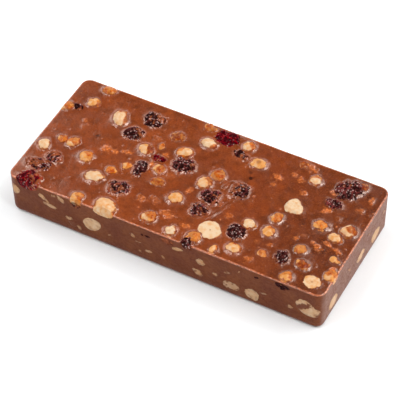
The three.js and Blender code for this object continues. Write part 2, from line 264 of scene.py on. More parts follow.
LEFT_FRUIT_MARKS = [(3, 19, 5, 3, 0, 0.2)]
WALL_NUT_BARE = [0.95, 0.55, 0.85, 0.85, 0.9, 0.9, 0.9]  # in the order of the nodes
WALL_STAINS = [  # chocolate over part of a flush nut: along, height, length, width, turn
    ("hazelnut_38", 40, 4.2, 13, 3.6, 0), ("hazelnut_40", 79, 13.6, 13, 4.2, 35),
    ("hazelnut_40", 89.6, 10, 9, 4.6, 62), ("hazelnut_42", 2.6, 13.6, 8, 3.4, 25),
    ("hazelnut_42", 9.4, 7.6, 7, 3.4, 30),
]
STAIN_EDGE = (1.15, 0.75)  # from outside a stain to inside it, over its size
STAIN_WAVES = [(2 * MM, 0.2)]
SMEAR_EDGE = (0.55, 1.1)  # outward in a flush nut, over its half size, where a smear sets in
SMEAR_WAVES = [(2.4 * MM, 0.3)]
SMEAR_MIDDLE = 0.75  # smear in the middle of a nut that isn't bare at all
SMEAR_SPARED = 0.7  # how much of the smear at its edge a bare nut is spared
WALL_NUT_GOLD = 0.5
SMALL_MARK_GOLD = 0.8
CUT_GOLD_WAVES = [(4 * MM, 0.3)]
MARK_WAVES = [(1.3, 0.16), (0.6, 0.096)]
MARK_SKIN = 0.35
MARK_SKIN_WAVES = [(1.5 * MM, 0.3)]
MARK_DEPTH = 0.8  # half depth of a flush piece over its half width

# Colours, as they look on a screen
CHOCOLATE = (118, 52, 24)
CHOCOLATE_RED = (137, 63, 26)
CHOCOLATE_DEEP = (62, 24, 8)
CHOCOLATE_PALE = (162, 80, 34)
# painted highlight: the lighter line along the rim
CHOCOLATE_RIM_HIGHLIGHT = (192, 102, 58)
CHOCOLATE_BLUSH = (152, 68, 24)
WALL = (101, 44, 14)
WALL_PALE = (116, 58, 22)
# painted sheen: the end walls paler in patches, standing for a reflection
WALL_PAINTED_SHEEN = (124, 89, 75)
WALL_SMEAR = (100, 42, 10)
AMBER = (206, 112, 30)
AMBER_DEEP = (164, 64, 8)
FILM_DEEP = (108, 38, 12)
CHIP = (216, 122, 58)
CHIP_DEEP = (176, 80, 28)
NUT = (207, 179, 146)
NUT_GOLD = (200, 134, 66)
NUT_CUT = (203, 171, 137)
NUT_CUT_GOLD = (186, 136, 86)
NUT_EYE = (136, 72, 26)
# fruit skins: the lighter colours on the crests of the folds, the deep ones in the creases as painted shade;
# the deep raisin colour also tints fruit bits in the top
RAISIN = (146, 66, 62)
RAISIN_DEEP = (31, 5, 3)
CRANBERRY = (148, 4, 20)
CRANBERRY_DEEP = (54, 2, 8)
FRUIT_COAT = (160, 88, 56)
FRUIT_COAT_DEEP = (122, 58, 26)
# painted glint colour on the fruit
FRUIT_PAINTED_GLINT = (244, 204, 194)
FLOOR = (246, 248, 249)

# Finishes
TOP_GLOSS = {"IOR": 1.6, "Specular IOR Level": 1.0, "Specular Tint": (1.0, 0.84, 0.74, 1.0)}
WALL_GLOSS = {"Specular IOR Level": 0.12}
NUT_GLOSS = {"Specular IOR Level": 0.14}
FRUIT_GLOSS = {"Specular IOR Level": 0.02}
FLOOR_MATT = {"Roughness": 0.7}
TOP_RELIEF = 0.04 * MM
FINE_RELIEF = 0.05 * MM
FRUIT_RELIEF = 0.1 * MM
PAINTED_SHADE_END = (20 * MM, 80 * MM, 0, 0.5)  # painted shade: the top darkens from one X to another, by so much
TOP_SPECKS = (1.9 * MM, 0.34 * MM)  # spacing and radius
# spacing and radius of the painted glints on the fruit
FRUIT_GLINT_SPECKS = (1.35 * MM, 0.66 * MM)
PAINTED_SHEEN_WIDTH = 1.8 * MM  # how far in from the ends of the bar the painted sheen on the end walls starts
PAINTED_SHEEN_SHARE = (0.4, 0.8)

# Camera, from the photograph's perspective
CAMERA_LENS = 178.7
CAMERA_SENSOR = 36
CAMERA_AZIMUTH = 28.85
CAMERA_ELEVATION = 47.41
CAMERA_ROLL = -1.05
CAMERA_DISTANCE = 1043 * MM
CAMERA_TARGET = (-4.84 * MM, 10.44 * MM, 0.0)

# Studio: each softbox is a name, azimuth, elevation, distance, width, height, brightness.
# An azimuth of 0 is in front of the bar, and 90 is to its right.
SOFTBOXES = [
    ("overhead", 130, 74, 1.6, 1.2, 1.2, 0.45),
    ("crescent", 150, 60, 1.6, 0.7, 0.2, 11.2),
    ("crescent_left", 264, 59, 1.6, 0.6, 0.19, 11.0),
    ("right", 106, 48, 1.5, 1.8, 0.8, 3.4),
    ("right_low", 100, 6, 1.5, 1.6, 0.3, 5.8),
    ("front", -35, 50, 1.6, 1.4, 0.7, 2.4),
    ("left", 300, 38, 1.5, 1.0, 0.6, 3.0),
    ("back_left", 244, 32, 1.0, 0.52, 0.42, 2.2),
    ("back", 208, 22, 1.2, 0.9, 0.2, 2.0),
    ("back_right", 166, 38, 1.2, 0.6, 0.46, 2.2),
    ("spark_right", 70, 60, 1.6, 0.12, 0.12, 45.0),
    ("spark_front", 330, 62, 1.6, 0.12, 0.12, 45.0),
]
AMBIENT = 0.04
HORIZON = (0.1, 0.2)  # sines of the heights between which the bright horizon fades
FLOOR_SIZE = 2.9


# Arrays


def waves(points, wavelength, seed):
    """Smooth noise, about -1 to 1, at an (n, 3) array of points."""
    rng = np.random.default_rng(seed)
    direction = rng.normal(size=(WAVE_COUNT, 3))
    direction /= norm(direction, axis=1)[:, None]
    turns = 2 * pi / (wavelength * rng.uniform(*WAVE_SPREAD, WAVE_COUNT))
    phase = rng.uniform(0, 2 * pi, WAVE_COUNT)
    return np.cos(points @ (direction * turns[:, None]).T + phase).sum(1) / sqrt(WAVE_COUNT)


def waves_sum(points, layers, seed):
    return sum(height * waves(points, length, seed + i) for i, (length, height) in enumerate(layers))


def ramp(low, high, value):
    t = np.clip((value - low) / (high - low), 0, 1)
    return t * t * (3 - 2 * t)


def covered(pattern, share, travel, edge):
    """From 1 to 0 across the border of the part that a share of the pattern takes up."""
    return ramp(-edge, edge, pattern - travel * (1 - 2 * share))


def to_side(points, side):
    """How far points lie towards the side at an angle from +X."""
    a = radians(side)
    return points[:, 0] * cos(a) + points[:, 1] * sin(a)


def flat_turn(turn):
    """Rows are the long and the short axis of something turned in its plane."""
    a = radians(turn)
    return np.array([[cos(a), sin(a)], [-sin(a), cos(a)]])


# The slab's walls

HALF = np.array(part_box(SLAB_NODE)[1])[:2]


def wall_inset(z):
    """How far the wall lies inside the rim at height z."""
    z = np.clip(z, 0, TOP)
    lean = DRAFT * (1 - z / TOP)
    below = np.clip(BOTTOM_RADIUS - z, 0, BOTTOM_RADIUS)
    return lean + BOTTOM_RADIUS - np.sqrt(BOTTOM_RADIUS**2 - below**2)


def outside(flat):
    """Distance outside the rim's outline, and the way out, at an (n, 2) array of points."""
    beyond = np.abs(flat) - (HALF - CORNER_RADIUS)
    corner = np.maximum(beyond, 0)
    reach = norm(corner, axis=1)
    inner = np.where(beyond[:, :1] > beyond[:, 1:], [[1.0, 0.0]], [[0.0, 1.0]])
    way = np.where(reach[:, None] > 0, corner / np.maximum(reach, 1e-9)[:, None], inner)
    distance = reach + np.minimum(beyond.max(1), 0) - CORNER_RADIUS
    return distance, way * np.where(flat < 0, -1, 1)


def held_in_walls(points, piece):
    """Points that would stand out of a wall are brought back to it, or behind it where
    the chocolate covers them."""
    worn = EDGE_LEAN * ramp(EDGE_LEAN_FROM, 1, (points[:, 2] - TOP) / EDGE_LEAN_HEIGHT)
    distance, way = outside(points[:, :2])
    allowed = PROUD - wall_inset(points[:, 2]) - worn - buried(points, way, piece)
    held = points.copy()
    held[:, :2] -= way * np.maximum(distance - allowed, 0)[:, None]
    return held


def buried(points, way, piece):
    """How far behind the wall a top piece lies, past the rounded outline it shows there."""
    if not piece.cover:
        return 0
    along = way[:, ::-1] * [1, -1]
    away = np.abs(((points - piece.centre)[:, :2] * along).sum(1))
    width = norm(along @ piece.axes[:2, :2].T * piece.half[:2], axis=1)
    depth = np.maximum(TOP - points[:, 2], 0)
    reach = (depth / piece.cover) ** COVER_ROUND + (away / (COVER_WIDTH * width)) ** COVER_ROUND
    beyond = (reach ** (1 / COVER_ROUND) - 1) * piece.cover
    return EDGE_LEAN * ramp(0, COLLAR_LIP, beyond) * ramp(0, COLLAR_LIP, depth)


# The bodies of the pieces. A body has a centre, half sizes, and axes: its long and
# short axis in its face, and the way out of the face.

TOP_FACE = np.eye(3)
FRONT_FACE = np.array([[1, 0, 0], [0, 0, 1], [0, -1, 0]], float)
RIGHT_FACE = np.array([[0, 1, 0], [0, 0, 1], [1, 0, 0]], float)
BACK_FACE = np.array([[-1, 0, 0], [0, 0, 1], [0, 1, 0]], float)
LEFT_FACE = np.array([[0, -1, 0], [0, 0, 1], [-1, 0, 0]], float)


def face_of(name):
    low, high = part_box(name)
    if high.z > TOP:
        return TOP_FACE
    return FRONT_FACE if low.y < FRONT_REACH - HALF[1] else RIGHT_FACE


def body_of_node(name):
    """The ellipsoid that fits a node best, without the flats that a wall cut on it."""
    face = face_of(name)
    world = np.array([v.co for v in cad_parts[name].data.vertices], float)
    clear = outside(world[:, :2])[0] < -FLAT_MARGIN - wall_inset(world[:, 2])
    world = world[clear]
    middle = world.mean(0)
    x, y, z = ((world - middle) @ face.T / MM).T
    terms = np.stack([x * x, 2 * x * y, y * y, z * z, x, y, z], 1)
    k = np.linalg.lstsq(terms, np.ones(len(x)), rcond=None)[0]
    flat = np.array([[k[0], k[1]], [k[1], k[2]]])
    across = -np.linalg.solve(flat, k[4:6]) / 2
    depth = -k[6] / (2 * k[3])
    scale = 1 + across @ flat @ across + k[3] * depth**2
    curvature, axes = np.linalg.eigh(flat / scale)
    half = np.append(1 / np.sqrt(curvature), sqrt(scale / k[3]))
    turn = degrees(atan(axes[1, 0] / axes[0, 0]))
    centre = middle + np.array([across[0], across[1], depth]) * MM @ face
    return body(centre, half * MM, face, turn, int(name[-2:]), name=name)


def body(centre, half, face, turn, number, finish=None, name=""):
    axes = face.copy()
    axes[:2] = flat_turn(turn) @ face[:2]
    return SimpleNamespace(
        centre=centre, half=half, axes=axes, number=number, finish=finish, name=name,
        seed=SEED + 10 * number, collar=1, cover=0
    )


def small_body(x, y, length, width, turn, finish, number):
    """A small topping in the top, sunk so that it shows length by width."""
    half_height = SMALL_HEIGHT * (length + width) / 4 * MM
    sunk = half_height * sqrt(1 - 1 / BURIED_SPREAD**2)
    half = np.append(np.array([length, width]) / 2 * BURIED_SPREAD * MM, half_height)
    return body(np.array([x * MM, y * MM, TOP - sunk]), half, TOP_FACE, turn, number, finish)


def bodies_of_nodes(kind):
    return [body_of_node(name) for name in sorted(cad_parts) if name.startswith(kind)]


def small_bodies(rows, first_number):
    return [small_body(*row, first_number + i) for i, row in enumerate(rows)]


def with_finishes(pieces, finishes):
    for piece, finish in zip(pieces, finishes):
        piece.finish = finish
    return pieces


def measured_outline(points, centre, level):
    """How far a top piece reaches at a height, at even angles."""
    shown = points[points[:, 2] > level][:, :2] - centre[:2]
    step = np.round(outline_step(shown)).astype(int) % OUTLINE_STEPS
    reach = np.zeros(OUTLINE_STEPS)
    np.maximum.at(reach, step, norm(shown, axis=1))
    found = np.flatnonzero(reach)
    return np.interp(np.arange(OUTLINE_STEPS), found, reach[found], period=OUTLINE_STEPS)


def outline_step(flat):
    return np.arctan2(flat[:, 1], flat[:, 0]) / (2 * pi) * OUTLINE_STEPS


def set_outlines(pieces, points_of, mesh):
    directions = ball(*mesh)[0]
    for piece in pieces:
        piece.rise = collar_rise(piece)
        points = points_of(piece, directions)
        piece.outline = measured_outline(points, piece.centre, TOP + OUTLINE_LEVEL * piece.rise)
        piece.foot = measured_outline(points, piece.centre, TOP - RIM_GAP / 2)


def collar_rise(piece):
    """How far the chocolate climbs a top piece."""
    rng = np.random.default_rng(SEED + 300 + piece.number)
    rise = min(COLLAR_HEIGHT * rng.uniform(*COLLAR_VARIES), COLLAR_SHARE * stands_out(piece))
    return rise * LOW_COLLARS.get(piece.name, piece.collar)


def stands_out(piece):
    """How far a top piece stands out of the chocolate."""
    return CUT_NUTS.get(piece.name, piece.centre[2] + piece.half[2] - TOP)


def distance_to(piece, flat, key="outline"):
    """Distance outside a top piece's outline where it meets its collar, negative inside."""
    away = flat - piece.centre[:2]
    steps = np.arange(OUTLINE_STEPS)
    reach = np.interp(outline_step(away), steps, getattr(piece, key), period=OUTLINE_STEPS)
    return norm(away, axis=1) - reach


hazelnuts = bodies_of_nodes("hazelnut")
raisins = with_finishes(bodies_of_nodes("raisin"), RAISIN_COATS)
raisins += small_bodies(SMALL_RAISINS, FIRST_NUMBERS["raisin"])
cranberries = with_finishes(bodies_of_nodes("cranberry"), CRANBERRY_COATS)
cranberries += small_bodies(SMALL_CRANBERRIES, FIRST_NUMBERS["cranberry"])
top_nuts = with_finishes([nut for nut in hazelnuts if nut.axes[2, 2] == 1], NUT_FILMS)
small_nuts = small_bodies(SMALL_NUTS, FIRST_NUMBERS["nut"])
wall_nuts = with_finishes([nut for nut in hazelnuts if nut.axes[2, 2] == 0], WALL_NUT_BARE)
for kind, berries in (("raisin", raisins), ("cranberry", cranberries)):
    for berry in berries:
        berry.collar = COLLAR_ON_FRUIT
        # share of painted glints on each berry
        berry.sparkle = PAINTED_GLINT_SHARE[kind]
for nut, gold in zip(top_nuts + small_nuts, NUT_GOLDS + [SMALL_NUT_GOLD] * len(small_nuts)):
    nut.gold = gold
top_pieces = top_nuts + small_nuts + raisins + cranberries
for piece in top_pieces:
    piece.cover = DEEP_COVERS.get(piece.name, COVER_DEPTH)


# Meshes


def in_scene(name, data):
    made = bpy.data.objects.new(name, data)
    bpy.context.scene.collection.objects.link(made)
    return made


def make_object(name, points, faces, values, materials, nodes=()):
    mesh = bpy.data.meshes.new(name)
    mesh.from_pydata(points.tolist(), [], faces)
    for key, value in values.items():
        layer = mesh.attributes.new(key, "FLOAT", "POINT")
        layer.data.foreach_set("value", np.asarray(value, np.float32))
    mesh.shade_smooth()
    for material in materials:
        mesh.materials.append(material)
    piece = in_scene(name, mesh)
    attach(piece, "root")
    if nodes:
        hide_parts(*nodes)
    return piece


def ball(around, levels):
    """Directions over a sphere, closer together near its top, and the faces between them."""
    polar = pi * (np.arange(1, levels) / levels) ** TOP_SHARE
    turn = 2 * pi * np.arange(around) / around
    polar, turn = (a.ravel() for a in np.meshgrid(polar, turn, indexing="ij"))
    rings = np.stack([np.sin(polar) * np.cos(turn), np.sin(polar) * np.sin(turn), np.cos(polar)], 1)
    directions = np.vstack([[0, 0, 1], rings, [0, 0, -1]])
    last = len(directions) - 1
    faces = [(0, 1 + i, 1 + (i + 1) % around) for i in range(around)]
    for row in range(levels - 2):
        start = 1 + row * around
        for i in range(around):
            j = (i + 1) % around
            faces.append((start + i, start + around + i, start + around + j, start + j))
    start = last - around
    faces += [(last, start + (i + 1) % around, start + i) for i in range(around)]
    return directions, faces


def joined(name, pieces, shape, mesh, material):
    """One mesh of many pieces, which replaces those that are nodes. shape gives a piece's
    points and the values they carry."""
    directions, faces = ball(*mesh)
    made = [shape(piece, directions) for piece in pieces]
    points = np.vstack([held_in_walls(shaped, piece) for (shaped, _), piece in zip(made, pieces)])
    starts = range(0, len(points), len(directions))
    all_faces = [tuple(v + start for v in face) for start in starts for face in faces]
    values = {key: np.concatenate([carried[key] for _, carried in made]) for key in made[0][1]}
    nodes = [piece.name for piece in pieces if piece.name]
    return make_object(name, points, all_faces, values, [material], nodes)


# Hazelnuts


def faceted(directions, seed):
    """Radius of a unit ball that is worn flat in a few places."""
    rng = np.random.default_rng(seed)
    normals = rng.normal(size=(NUT_FACETS, 3))
    normals[:, 2] = np.abs(normals[:, 2])
    normals /= norm(normals, axis=1)[:, None]
    cuts = rng.uniform(*FACET_CUT, NUT_FACETS)
    planes = cuts / np.maximum(directions @ normals.T, FACET_REACH)
    return -np.log(np.exp(-FACET_SHARP * planes).sum(1) + exp(-FACET_SHARP)) / FACET_SHARP


def film_over(piece, directions, share, side):
    """From 1 under the film to 0 where the nut is bare."""
    world = directions @ piece.axes
    ragged = to_side(world, side) + waves_sum(world, FILM_WAVES, piece.seed)
    return covered(ragged, share, *FILM_BORDER)


def swollen(piece):
    """Half sizes of a piece, widened up to its collar if it lies in the top."""
    wider = SWELL if piece.axes[2, 2] == 1 else 0
    return piece.half + np.array([wider, wider, wider / SWELL_FLAT])


def nut_points(piece, directions):
    """A worn and lumpy nut, narrower at its tip."""
    local = directions * swollen(piece) * faceted(directions, piece.seed)[:, None]
    local[:, 1] *= 1 - NUT_TIP * directions[:, 0]
    depth, corner = THREE_SIDED.get(piece.number, (0, 0))
    angle = np.arctan2(local[:, 1], local[:, 0]) - radians(corner)
    local[:, :2] *= 1 + depth * np.cos(3 * angle)[:, None]
    lumps = waves_sum(local + piece.centre, NUT_LUMPS, piece.seed)
    return (local + directions * lumps[:, None]) @ piece.axes + piece.centre


def foot_over(piece, points):
    """From 1 where the collar's thin edge stains a nut, with painted shade at its foot, to 0 further up."""
    away = (points - piece.centre) / piece.half.mean()
    lean, side = FOOT_LEAN
    further = lean * away[:, :2] @ flat_turn(side)[0]
    ragged = waves_sum(points, FOOT_WAVES, piece.seed)
    foot = ramp(*FOOT_REACH, distance_to(piece, points[:, :2]) + further + ragged)
    return foot * ramp(*FOOT_CLEAR, -outside(points[:, :2])[0])


def eye_in(piece, points):
    """How brown a nut's seed end is at each point."""
    if piece.number not in NUT_EYES:
        return np.zeros(len(points))
    radius, darkness = NUT_EYES[piece.number]
    off = norm(points[:, :2] - piece.centre[:2], axis=1)
    return darkness * ramp(radius, EYE_CORE * radius, off)


def top_nut(piece, directions):
    share, side, thickness = piece.finish
    points = nut_points(piece, directions)
    if piece.name in CUT_NUTS:
        points[:, 2] = np.minimum(points[:, 2], TOP + CUT_NUTS[piece.name])
    zero = np.zeros(len(points))
    film = film_over(piece, directions, share, side)
    foot = foot_over(piece, points)
    # browner at the foot: the film's thin edge, and painted shade where nut and chocolate meet
    brown = np.maximum(thickness * film, FOOT_FILM_AND_SHADE * foot**2)
    gold = np.clip(piece.gold + waves_sum(points, GOLD_WAVES, piece.seed + 5), 0, 1)
    return points, {"film": np.maximum(film, foot), "brown": brown, "eye": eye_in(piece, points),
                    "cut": zero, "gold": gold, "smear": zero}


def ragged_points(piece, directions):
    """A body with an uneven outline."""
    reach = 1 + waves_sum(directions, MARK_WAVES, piece.seed)
    return directions * reach[:, None] * piece.half @ piece.axes + piece.centre


def smear_over(piece, points):
    """How much chocolate covers each point of a flush nut: more towards its outline, all
    over where it is less bare, and where a stain lies."""
    bare = piece.finish
    seed = piece.seed
    across = norm((points - piece.centre) @ piece.axes[:2].T / piece.half[:2], axis=1)
    edge = ramp(*SMEAR_EDGE, across + waves_sum(points, SMEAR_WAVES, seed + 2))
    smear = np.clip(SMEAR_MIDDLE * (1 - bare) + (1 - SMEAR_SPARED * bare) * edge, 0, 1)
    for name, along, z, length, width, turn in WALL_STAINS:
        if name == piece.name:
            flat = points @ face_of(name)[:2].T - np.array([along, z]) * MM
            axes = flat_turn(turn) / (np.array([[length], [width]]) * MM / 2)
            reach = norm(flat @ axes.T, axis=1) + waves_sum(points, STAIN_WAVES, seed + 3)
            smear = np.maximum(smear, ramp(*STAIN_EDGE, reach))
    return smear


def wall_nut(piece, directions):
    """A nut or a small bit of one, cut flush."""
    points = nut_points(piece, directions) if piece.name else ragged_points(piece, directions)
    zero = np.zeros(len(points))
    middle = WALL_NUT_GOLD if piece.name else SMALL_MARK_GOLD
    gold = np.clip(middle + waves_sum(points, CUT_GOLD_WAVES, piece.seed + 4), 0, 1)
    return points, {"film": zero, "brown": zero, "eye": zero, "cut": zero + 1,
                    "gold": gold, "smear": smear_over(piece, points)}


# Raisins and cranberries


def fruit_points(piece, directions):
    """The lumped and folded skin, smoother where it is coated, how near each point is to
    the crest of a fold, and the coat."""
    seed = piece.seed + 1000
    half = swollen(piece)
    start = directions * half @ piece.axes + piece.centre
    outward = directions / half @ piece.axes
    outward /= norm(outward, axis=1)[:, None]
    height = waves_sum(start, FRUIT_LUMPS, seed)
    coat = coat_over(start, piece, *piece.finish[:2], seed)
    crests = np.zeros(len(start))
    for i, (length, depth) in enumerate(FRUIT_FOLDS):
        crest = 1 - np.minimum(np.abs(waves(start, length, seed + 20 + i)), 1)
        height += depth * (crest - 0.5) * (1 - COAT_FILL * coat)
        crests += crest**2 / len(FRUIT_FOLDS)
    return start + outward * height[:, None], crests, coat


def coat_over(points, piece, share, side, seed):
    """From 1 in ragged patches of chocolate to 0 where the skin is bare."""
    if share == 0:
        return np.zeros(len(points))
    away = (points - piece.centre) / piece.half.mean()
    patches = waves_sum(points, COAT_WAVES, seed) + COAT_PULL * to_side(away, side)
    return covered(patches, share, *COAT_BORDER)


def fruit(piece, directions):
    points, skin, coat = fruit_points(piece, directions)
    # painted glints, more towards the collar
    foot = PAINTED_GLINT_FOOT * ramp(*PAINTED_GLINT_REACH, distance_to(piece, points[:, :2]))
    spark = foot + piece.sparkle
    black = 0 * skin + piece.finish[2]
    return points, {"skin": skin, "coat": coat, "spark": spark, "black": black}


# Pieces cut flush with the walls


def wall_body(face, along, z, length, width, turn, bare, number):
    """A mark's body, centred on its wall."""
    half = np.array([length, width, MARK_DEPTH * (length + width) / 2]) * MM / 2
    limit = HALF[0] if abs(face[2, 0]) == 1 else HALF[1]
    centre = along * MM * face[0] + z * MM * face[1] + (limit - wall_inset(z * MM)) * face[2]
    return body(centre, half, face, turn, number, bare)


def wall_bodies(*groups):
    bodies = []
    for face, marks in groups:
        for mark in marks:
            bodies.append(wall_body(face, *mark, FIRST_NUMBERS["mark"] + len(bodies)))
    return bodies


def fruit_mark(piece, directions):
    seed = piece.seed
    points = ragged_points(piece, directions)
    skin = np.clip(MARK_SKIN + waves_sum(points, MARK_SKIN_WAVES, seed), 0, 1)
    patches = waves_sum(points, MARK_COAT_WAVES, seed + 1)
    coat = covered(patches, piece.finish, *MARK_COAT_BORDER)
    return points, {"skin": skin, "coat": coat, "spark": 0 * skin, "black": 0 * skin + 1}


# Slab


def chip_fields(flat):
    """Height, amber and dark of the coated bits at each point of the top."""
    still = np.column_stack([flat, np.zeros(len(flat))])
    ragged = waves_sum(still, CHIP_RAGGED, SEED + 50)
    lumps = 1 + waves_sum(still, CHIP_LUMPS, SEED + 53)
    height = 0
    shade = []
    for chips, rises in ((AMBER_CHIPS, CHIP_RISE), (DARK_CHIPS, 0)):
        colour = 0
        for x, y, length, width, turn, strength in chips:
            local = (flat - np.array([x, y]) * MM) @ flat_turn(turn).T
            reach = norm(local / (np.array([length, width]) * MM / 2), axis=1) + ragged
            rise = rises * (length + width) / 2 * MM
            height += rise * ramp(*CHIP_RISE_EDGE, reach) * lumps
            colour = np.maximum(colour, strength * ramp(*CHIP_COLOUR_EDGE, reach))
        shade.append(colour)
    return height, *shade


def fleck_fields(flat, clear):
    """Height and amber of the grit, kept off the pieces."""
    rng = np.random.default_rng(SEED + 60)
    height = 0
    amber = 0
    for _ in range(FLECK_COUNT):
        place = rng.uniform(-HALF, HALF)
        radius = rng.uniform(*FLECK_RADIUS)
        stretch = rng.uniform(*FLECK_STRETCH, 2)
        strength = rng.uniform(*FLECK_AMBER)
        reach = norm((flat - place) / stretch, axis=1) / radius
        bump = ramp(1, 0, reach)
        height += FLECK_RISE * radius * bump
        amber = np.maximum(amber, strength * bump)
    return height * clear, amber * clear


def distance_to_line(flat, line):
    """Distance to a line whose points are in millimetres."""
    line = np.array(line) * MM
    nearest = np.inf
    for start, end in zip(line[:-1], line[1:]):
        along = np.clip((flat - start) @ (end - start) / ((end - start) ** 2).sum(), 0, 1)
        nearest = np.minimum(nearest, norm(flat - start - along[:, None] * (end - start), axis=1))
    return nearest


def top_fields(flat):
    """Height of the chocolate above TOP, and what colours it, at each point."""
    nearest = np.inf
    collar = 0
    gap = 0
    for piece in top_pieces:
        distance = distance_to(piece, flat)
        nearest = np.minimum(nearest, distance)
        climb = piece.rise * np.exp(-np.maximum(distance, 0) / COLLAR_WIDTH)
        climb *= ramp(-COLLAR_TUCK - COLLAR_LIP, -COLLAR_TUCK, distance)
        collar = np.maximum(collar, climb)
        gap = np.maximum(gap, ramp(*RIM_GAP_EDGE, distance_to(piece, flat, "foot")))
    still = np.column_stack([flat, np.zeros(len(flat))])
    for ridge in RIDGES:
        collar = np.maximum(collar, RIDGE_RISE * np.exp(-(distance_to_line(flat, ridge) / RIDGE_WIDTH) ** 2))
    collar *= 1 + waves_sum(still, COLLAR_WAVES, SEED + 40)
    inner = ramp(*COLLAR_CLEAR, -outside(flat)[0])
    collar = collar * inner - RIM_GAP * gap * (1 - inner)
    clear = ramp(*FLECK_CLEAR, nearest)
    chip_height, amber, dark = chip_fields(flat)
    fleck_height, fleck_amber = fleck_fields(flat, clear)
    height = waves_sum(still, TOP_WAVES, SEED) + collar + chip_height + fleck_height
    return height, np.maximum(amber, fleck_amber), dark, np.clip(collar / COLLAR_HEIGHT, 0, 1)


def corner_rounded(flat, half, radius):
    """A grid over a rectangle, with each corner square drawn in to a quarter disc."""
    beyond = np.abs(flat) - (half - radius)
    share = np.clip(beyond / radius, 0, 1)
    inside_corner = (beyond > 0).all(1)
    pulled = share * np.sqrt(1 - share[:, ::-1] ** 2 / 2)
    placed = np.sign(flat) * (half - radius + radius * pulled)
    return np.where(inside_corner[:, None], placed, flat)


def border(columns, rows):
    """Numbers of a grid's outer points, in order round it."""
    front = list(range(columns))
    right = [j * columns + columns - 1 for j in range(1, rows)]
    back = [(rows - 1) * columns + i for i in range(columns - 2, -1, -1)]
    left = [j * columns for j in range(rows - 2, 0, -1)]
    return np.array(front + right + back + left)


def wall_profile():
    """From the rim to the rest face: how far out of the top's border, drop, and share of
    the top's relief that is kept."""
    profile = []
    for i in range(1, RIM_STEPS + 1):
        a = pi / 2 * i / RIM_STEPS
        profile.append((RIM_RADIUS * sin(a), RIM_RADIUS * (1 - cos(a)), cos(a)))
    heights = np.linspace(TOP - RIM_RADIUS, BOTTOM_RADIUS, WALL_STEPS + 1)[1:]
    rounding = BOTTOM_RADIUS * (1 - np.sin(np.linspace(0, pi / 2, BOTTOM_STEPS + 1)[1:]))
    for z in np.append(heights, rounding):
        profile.append((RIM_RADIUS - wall_inset(z), TOP - z, 0))
    return profile


def make_slab(top_material, wall_material):
    half = HALF - RIM_RADIUS
    count = np.round(2 * half / GRID_STEP).astype(int) + 1
    xs = np.linspace(-half[0], half[0], count[0])
    ys = np.linspace(-half[1], half[1], count[1])
    flat = np.stack([a.ravel() for a in np.meshgrid(xs, ys)], 1)
    flat = corner_rounded(flat, half, CORNER_RADIUS - RIM_RADIUS)
    height, amber, dark, collar = top_fields(flat)
    points = [np.column_stack([flat, TOP + height])]
    loop = border(*count)
    way = outside(flat[loop])[1]
    # painted highlight along the rim, on the top and the wall's rounded edge
    rim_highlights = [None]
    for out, drop, kept in wall_profile():
        ring = flat[loop] + way * out
        points.append(np.column_stack([ring, TOP - drop + height[loop] * kept]))
        rim_highlights.append(np.full(len(loop), 1.0 if drop < RIM_HIGHLIGHT_DROP else 0.0))
    points = np.vstack(points)
    faces = slab_faces(count, loop, len(wall_profile()))
    # the top's share of the painted rim highlight
    rim_highlights[0] = ramp(-RIM_HIGHLIGHT_REACH, -RIM_RADIUS, outside(flat)[0])
    below = np.zeros(len(points) - len(flat))
    values = {"amber": np.append(amber, below), "dark": np.append(dark, below),
              "collar": np.append(collar, below), "rim": np.concatenate(rim_highlights)}
    slab = make_object(SLAB_NODE + "_fine", points, faces, values,
                       [top_material, wall_material], [SLAB_NODE])
    top_faces = (count[0] - 1) * (count[1] - 1) + RIM_STEPS * len(loop)
    slab.data.polygons.foreach_set("material_index", np.arange(len(faces)) >= top_faces)


def slab_faces(count, loop, rings):
    columns, rows = count
    corner = (np.arange(rows - 1)[:, None] * columns + np.arange(columns - 1)).ravel()
    quads = np.stack([corner, corner + 1, corner + columns + 1, corner + columns], 1)
    faces = quads.tolist()
    upper = loop
    for ring in range(rings):
        lower = columns * rows + ring * len(loop) + np.arange(len(loop))
        faces += np.stack([upper, lower, np.roll(lower, -1), np.roll(upper, -1)], 1).tolist()
        upper = lower
    return faces + [upper[::-1].tolist()]


# Materials


def linear(colour):
    """Screen colour to the light that it stands for."""
    share = np.array(colour) / 255
    light = np.where(share < 0.04045, share / 12.92, ((share + 0.055) / 1.055) ** 2.4)
    return (*light, 1)


